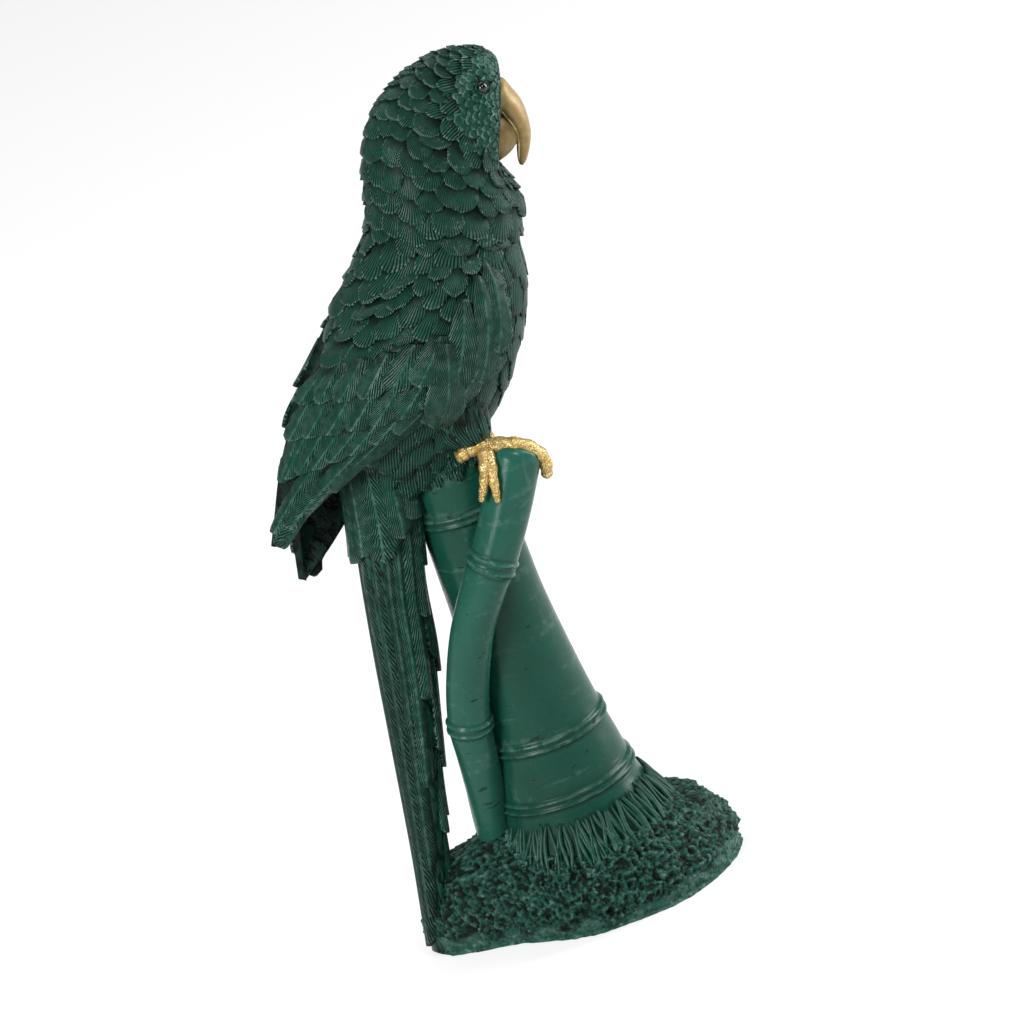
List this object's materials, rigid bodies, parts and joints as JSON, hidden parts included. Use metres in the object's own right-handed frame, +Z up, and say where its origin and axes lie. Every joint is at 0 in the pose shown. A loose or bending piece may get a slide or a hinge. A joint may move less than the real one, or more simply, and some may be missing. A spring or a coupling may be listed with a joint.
{
  "type": "parrot figurine",
  "caption": "Standing ornament: a parrot with folded wings and a long tail perches on a bent bamboo stalk and a thick bamboo stem that rise from a rock with a flat underside.",
  "frame": {"origin": "on the flat underside of the rock, below the middle of the figurine's outline seen from above, in the bird's midplane", "axes": "+Z up, +X towards the side the bird faces, +Y towards the bird's left"},
  "size_m": [0.1099, 0.0648, 0.2554],
  "materials": {
    "green_paint": "satin dark green paint on resin",
    "gold_paint": "satin gold paint on resin, on the beak and feet",
    "eye_black": "gloss black paint on the eyes"
  },
  "bodies": {
    "root": {"parrot_figurine": "green_paint"}
  },
  "joints": []
}
